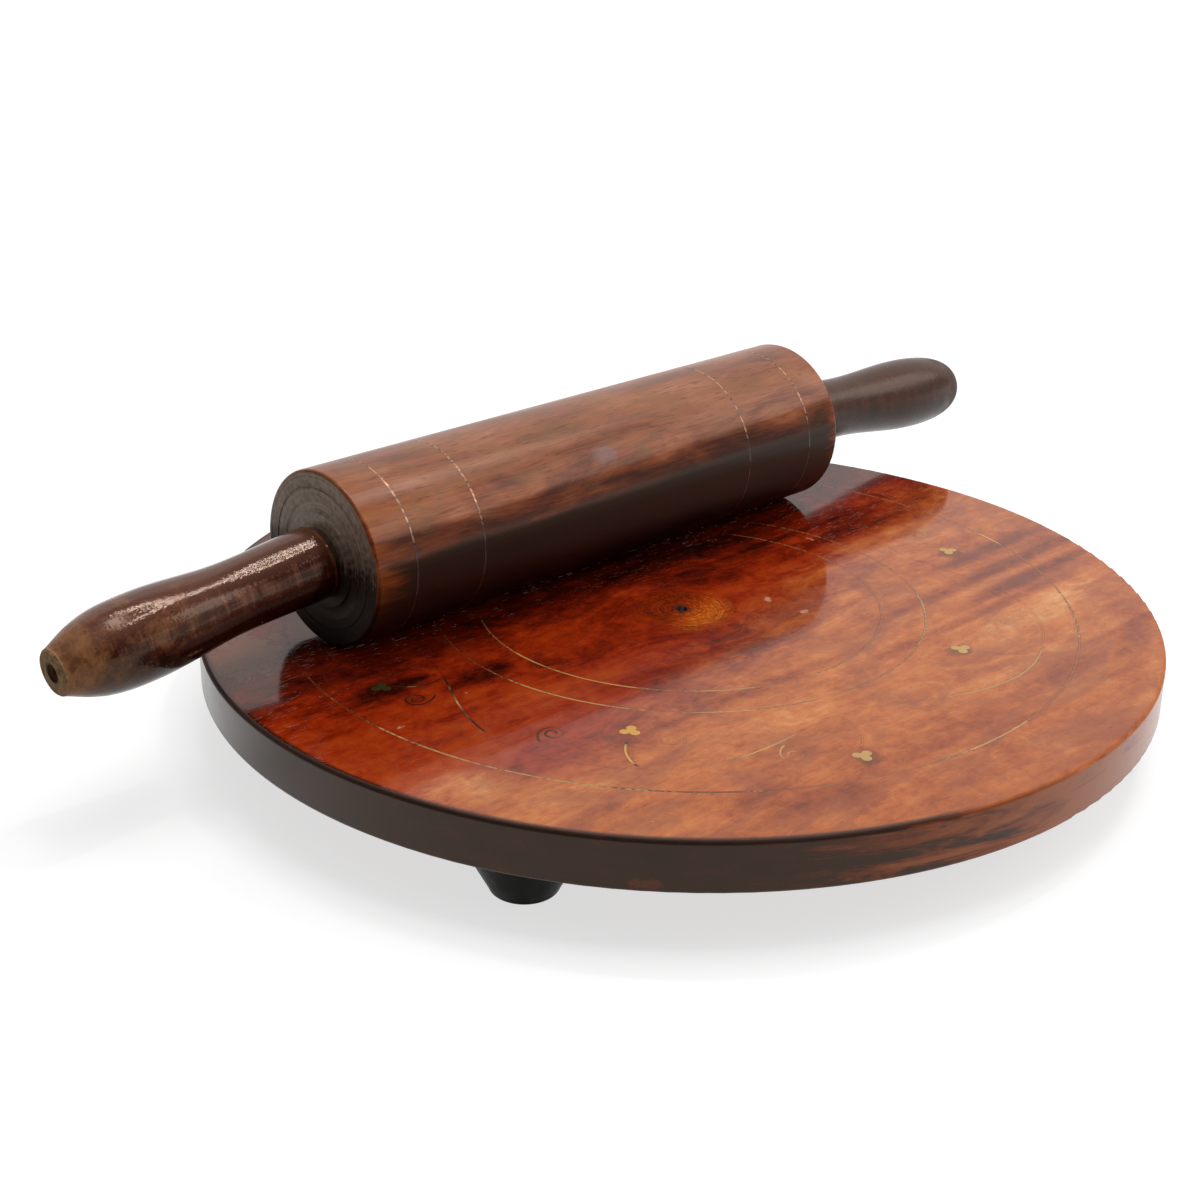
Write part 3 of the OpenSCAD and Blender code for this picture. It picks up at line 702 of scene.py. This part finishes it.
def handle_round(n, wood, stops, seed):
    """The colour of a handle's own wood, before its wear."""
    tone = n.noise(wood.grain, (60, 7, 7), 3)
    streak = n.noise(wood.grain, (26, 1.8, 1.8), 4, 0.6)
    fibre = n.noise(wood.grain, (7, 0.35, 0.35), 2)
    bands = n.vector(wood.reach * 2.2 + seed * 30, wood.sideways * 0.5, wood.upward * 0.5)
    bands = n.noise(bands, 7, 4, 0.65)
    shade = n.figure((tone, 0.6), (streak, 0.25), (fibre, 0.12), (wood.turning, 0.2), (bands, 0.45))
    return n.ramp(shade, stops)


def handle_wear(n, wood, stops, tip_tone, colour):
    """Lays a handle's wear, and painted light and shade, over its colour.

    The tip and patches on the swell have a tone of their own. The rest is darker below as painted
    shade, paler above as painted light, and brown at the root, and the end face is dry, with a hole in
    it.
    """
    mottled = n.step(n.noise(wood.place, (3, 5, 5), 4, 0.7), 0.36, 0.62, 0.3, 0.85)
    patches = n.step(n.noise(wood.place, 7, 4, 0.65), 0.52, 0.66) * n.step(wood.reach, *HANDLE_SWELL)
    colour = n.mix(n.larger(wood.tip * mottled, patches * 0.3), colour, tip_tone)
    darkest = stops[0][1]
    palest = stops[-1][1]
    # Painted shade below and painted light above
    colour = n.mix(n.step(wood.upward, *HANDLE_SHADED_BELOW, 0, 0.6) * (1 - wood.tip * 0.8), colour, darkest)
    colour = n.mix(n.step(wood.upward, *HANDLE_LIT_ABOVE, 0, 0.35), colour, palest)
    root = n.step(wood.reach + n.noise(wood.place, 3, 2) * 2, *HANDLE_ROOT)
    colour = n.mix(root * 0.8, colour, "#96502c")
    dry = n.ramp(n.noise(wood.place, 1.6, 3, 0.7), HANDLE_END_STOPS)
    colour = n.mix(wood.end * 0.9, colour, dry)
    colour = n.mix(wood.hole, colour, "#5a4436")
    pores = n.step(n.noise(wood.grain, (3, 0.28, 0.28), 1), 0.64, 0.72)
    colour = n.mix(pores * 0.5, colour, "#160907")
    return n.mix(n.specks(wood.place, 5, 0.35, 0.1) * 0.7, colour, "#c4b3a2")


def handle_wood(node, stops, tip_tone, seed, dull, gloss):
    """A turned handle. Its seed shifts the figure, dull is its least roughness, gloss its mirroring."""
    n = Finish(node)
    wood = handle_figure(n, node, seed)
    colour = handle_wear(n, wood, stops, tip_tone, handle_round(n, wood, stops, seed))
    roughness = n.step(n.noise(wood.place, 9, 3, 0.6), 0.3, 0.75, dull, dull + 0.08)
    roughness = roughness + wood.tip * 0.34 + wood.end * 0.4
    bumps = n.bump(wood.turning, 0.008)
    bumps = n.bump(n.noise(wood.place, 9, 2), 0.03, bumps)
    bumps = n.bump(n.noise(wood.place, 0.7, 2), 0.045, bumps)
    n.set(Base_Color=colour, Roughness=roughness, Normal=bumps, IOR=WOOD_IOR)
    n.set(Specular_IOR_Level=gloss, Specular_Tint=LACQUER)
    n.put_on(node)


# The brass
BRASS_CLEAN = "#f0bb66"
BRASS_DULL = "#b08c56"

# Left and right end of the stretch, along X, over which the board's worn wires turn paler
WIRES_PALER = (-68, -44)

# Marks that add to the shine of the board's brass, written as the board's marks are
RING_MARKS = [
    (-54, -16, 15, 34, 10, 0.6), (-10, -53, 16, 5, 0, -0.1), (-34, -50, 18, 16, 0, 0.4),
    (18, -58, 34, 8, 0, 0.12), (0, -105, 26, 8, 0, 0.3), (102, -27, 6, 8, 0, 0.6),
    (0, 70, 160, 60, 0, -0.45), (-90, -40, 30, 60, 20, 0.18), (66, -84, 22, 10, 45, 0.2),
    (45, -48, 22, 12, 40, 0.26), (-96, -30, 40, 70, 20, 0.12),
]
SCROLL_MARKS = [
    (-82, -8, 16, 36, 16, 0.33), (-46, -74, 16, 6, 0, 0.62), (28, -85.5, 30, 6, 2, 0.52),
    (-71, -53, 7, 8, 0, 0.95), (-79, -34, 6, 6, 0, 0.14), (-58.5, -55.5, 5, 5, 0, 0.08),
    (0, 64, 160, 60, 0, -0.3),
]
LEAF_MARKS = [(-62.5, -45.5, 8, 8, 0, 0.6), (-92, 11, 9, 9, 0, -0.38)]


def brass(
    name, parts, shine, patch, grime, marks=(), twist=0, paler=None, sunk=False, on_barrel=False,
    dull=BRASS_DULL, bright=BRASS_CLEAN,
):
    """Worn brass, bright where its shine is high, then dull, then grimy.

    The shine is a mean that patches, marks and the twist of the wire move up or down. The grime may
    turn paler to the right. Sunk brass that has lost all its shine takes the colour of the board round
    it. Brass on the barrel keeps its shine only above its axis and is dark below it.
    """
    n = Finish(name)
    place = n.place()
    shine = shine + (n.noise(place, 9, 3, 0.6) - 0.5) * patch
    if marks:
        shine = n.spots(place, marks) + shine
    if on_barrel:
        _, _, z = n.parts(place)
        shine = above_axis(n, z, RINGS_BRIGHT_ABOVE, -0.5, 0.12) + shine
    if twist:
        shine = n.step(n.noise(place, 0.9, 0), 0.4, 0.6, -twist, twist) + shine
    if paler:
        x, _, _ = n.parts(place)
        grime = n.mix(n.step(x, *WIRES_PALER), grime, paler)
    colour = n.mix(n.step(shine, 0.4, 0.7), dull, bright)
    colour = n.mix(n.step(shine, 0.36, 0.2), colour, grime)
    if sunk:
        colour = n.mix(n.step(shine, 0.1, -0.05), colour, board_face(n, board_figure(n, place)))
    n.set(
        Base_Color=colour, Metallic=n.step(shine, 0.36, 0.75),
        Roughness=n.step(shine, 0.0, 0.3, 0.14, 0.34), Normal=n.bump(n.noise(place, 1.1, 2), 0.03),
    )
    n.put_on(*parts)


# The spindles
STEEL_STOPS = [(0.4, "#5a5652"), (0.6, "#8b8782"), (0.75, "#6b4a34")]


def spindle_steel():
    """The spindles' finish: dull steel with rust in places."""
    n = Finish("spindle_steel")
    place = n.place()
    rust = n.noise(place, 1.6, 4, 0.6)
    n.set(
        Base_Color=n.ramp(rust, STEEL_STOPS), Metallic=n.step(rust, 0.68, 0.6),
        Roughness=n.step(rust, 0.4, 0.7, 0.35, 0.6), Normal=n.bump(n.noise(place, 0.5, 2), 0.02),
    )
    n.put_on("left_spindle", "right_spindle")


# The floor: its side in metres, its white for the light that falls on it, the light that it gives of
# itself to the camera and to mirrors, how much more of that it gives far out, and between which
# distances in metres that grows
FLOOR_SIZE = 30.0
FLOOR_WHITE = 0.4
FLOOR_LIFT = 0.68
FAR_LIFT = 0.2
FAR_BEGINS = 0.4
FAR_ENDS = 1.5


def make_floor():
    """A pale floor that reads as white to the camera where nothing shades it."""
    half = FLOOR_SIZE / 2
    mesh = bpy.data.meshes.new("floor")
    corners = [(-half, -half, 0), (half, -half, 0), (half, half, 0), (-half, half, 0)]
    mesh.from_pydata(corners, [], [(0, 1, 2, 3)])
    floor = bpy.data.objects.new("floor", mesh)
    scene.collection.objects.link(floor)
    material = bpy.data.materials.new("floor")
    n = Tree(material)
    n.nodes.clear()
    path = n.add("ShaderNodeLightPath", {})
    camera, glossy, through = (
        n.field(path, f"Is {ray} Ray") for ray in ("Camera", "Glossy", "Transmission")
    )
    seen = n.larger(n.larger(camera, glossy), through)
    x, y, _ = n.parts(n.field(n.add("ShaderNodeTexCoord", {}), "Object"))
    far = n.step(n.length(x, y), FAR_BEGINS, FAR_ENDS, 0, FAR_LIFT)
    matt = n.add("ShaderNodeBsdfDiffuse", {"Color": (FLOOR_WHITE, FLOOR_WHITE, FLOOR_WHITE, 1)})
    lift = n.add("ShaderNodeEmission", {"Strength": seen * (far + FLOOR_LIFT)})
    both = n.add("ShaderNodeAddShader", {0: n.field(matt), 1: n.field(lift)})
    n.add("ShaderNodeOutputMaterial", {"Surface": n.field(both)})
    mesh.materials.append(material)


# The world's light, 1 for white: the dim room behind the camera, the ceiling, the backdrop behind the
# object and a glow on the camera's right
ROOM_LIGHT = 0.048
CEILING_LIGHT = 0.36
BACKDROP_LIGHT = 0.8
GLOW_LIGHT = 0.72
BACKDROP_AZIMUTH = math.radians(46)
GLOW_AZIMUTH = math.radians(-52)

# Where each one begins and is full: sides as the cosine of the angle from its azimuth, and heights as
# the sine of the elevation
BACKDROP_SIDES = (0.5, 0.72)
BACKDROP_HEIGHT = (0.84, 0.7)
GLOW_SIDES = (0.8, 0.92)
GLOW_HEIGHT = (0.5, 0.3)
CEILING_HEIGHT = (0.5, 0.9)


def make_world():
    """Lights the scene from a bright backdrop, a soft ceiling and a dim room. The camera sees white."""
    world = bpy.data.worlds.new("studio")
    scene.world = world
    n = Tree(world)
    n.nodes.clear()
    x, y, z = n.parts(n.field(n.add("ShaderNodeTexCoord", {}), "Generated"))
    level = n.length(x, y)

    def towards(azimuth):
        return (x * math.cos(azimuth) + y * math.sin(azimuth)) / level

    ceiling = n.step(z, *CEILING_HEIGHT, 0, CEILING_LIGHT - ROOM_LIGHT)
    backdrop = n.step(towards(BACKDROP_AZIMUTH), *BACKDROP_SIDES) * n.step(z, *BACKDROP_HEIGHT)
    glow = n.step(towards(GLOW_AZIMUTH), *GLOW_SIDES) * n.step(z, *GLOW_HEIGHT)
    strength = ROOM_LIGHT + ceiling + backdrop * (BACKDROP_LIGHT - ROOM_LIGHT)
    strength = glow * (GLOW_LIGHT - ROOM_LIGHT) + strength
    camera = n.field(n.add("ShaderNodeLightPath", {}), "Is Camera Ray")
    shown = n.field(n.add("ShaderNodeMix", {"Factor": camera, "A": strength, "B": 1.0}))
    background = n.add("ShaderNodeBackground", {"Color": (1, 1, 1, 1), "Strength": shown})
    n.add("ShaderNodeOutputWorld", {"Surface": n.field(background)})


# An overhead lamp like a picture frame, in metres: its middle, half its side, the width of its edges,
# their light as it is seen, 1 for white, and how many times wider and fainter the left edge is
FRAME_LAMP = Vector((0.30, -0.03, 1.32))
FRAME_HALF = 0.30
FRAME_EDGE = 0.045
FRAME_LIGHT = 35.5
SOFT_EDGE = 5

# A broad soft lamp in front, on the right: direction in degrees, metres, and its light
SOFTBOX_AZIMUTH = -33
SOFTBOX_ELEVATION = 35
SOFTBOX_DISTANCE = 1.6
SOFTBOX_WIDTH = 1.25
SOFTBOX_HEIGHT = 0.62
SOFTBOX_LIGHT = 3.2


def panel(name, place, width, height, light):
    """A soft light that faces the object: its sizes in metres, and its light as it is seen."""
    data = bpy.data.lights.new(name, "AREA")
    data.shape = "RECTANGLE"
    data.size = width
    data.size_y = height
    data.energy = light * math.pi * width * height
    lamp = bpy.data.objects.new(name, data)
    lamp.matrix_world = Matrix.Translation(place) @ place.to_track_quat("Z", "Y").to_matrix().to_4x4()
    lamp.visible_camera = False
    scene.collection.objects.link(lamp)


def aimed(azimuth, elevation, distance):
    """The point in that direction from the object, in degrees, azimuth 0 along +X and 90 along +Y."""
    a = math.radians(azimuth)
    e = math.radians(elevation)
    return Vector((math.cos(a) * math.cos(e), math.sin(a) * math.cos(e), math.sin(e))) * distance


def make_lights():
    for side, softer in ((-1, SOFT_EDGE), (1, 1)):
        beside = FRAME_LAMP + Vector((side * FRAME_HALF, 0, 0))
        panel(f"frame_x{side}", beside, FRAME_EDGE * softer, 2 * FRAME_HALF, FRAME_LIGHT / softer)
        before = FRAME_LAMP + Vector((0, side * FRAME_HALF, 0))
        panel(f"frame_y{side}", before, 2 * FRAME_HALF, FRAME_EDGE, FRAME_LIGHT)
    softbox = aimed(SOFTBOX_AZIMUTH, SOFTBOX_ELEVATION, SOFTBOX_DISTANCE)
    panel("softbox", softbox, SOFTBOX_WIDTH, SOFTBOX_HEIGHT, SOFTBOX_LIGHT)


make_camera()
make_floor()
make_world()
make_lights()

board_wood()
foot_wood()
barrel_wood()
handle_wood("left_handle", LEFT_HANDLE_STOPS, tip_tone="#b07648", seed=1, dull=0.06, gloss=0.45)
handle_wood("right_handle", RIGHT_HANDLE_STOPS, tip_tone="#33241f", seed=2, dull=0.24, gloss=SOFT_GLOSS)
brass(
    "ring_brass", ["outer_ring_wire", "middle_ring_wire", "inner_ring_wire"],
    shine=0.07, patch=0.75, grime="#6a3217", marks=RING_MARKS, twist=0.07, paler="#935c38", sunk=True,
)
brass(
    "scroll_brass", ["vine_wire", "stem_wires", "curl_wires"],
    shine=-0.08, patch=0.5, grime="#3c1a0c", marks=SCROLL_MARKS, paler="#b57c50", sunk=True,
)
brass("leaf_brass", ["leaf_inlays"], shine=0.48, patch=0.3, grime="#352c14", marks=LEAF_MARKS)
brass(
    "barrel_ring_brass", ["left_end_ring", "left_inner_ring", "right_inner_ring", "right_end_ring"],
    shine=0.28, patch=0.6, grime="#3a2219", twist=0.14, on_barrel=True,
    dull="#9c7056", bright="#d8a684",
)
spindle_steel()

scene.view_settings.view_transform = "Standard"
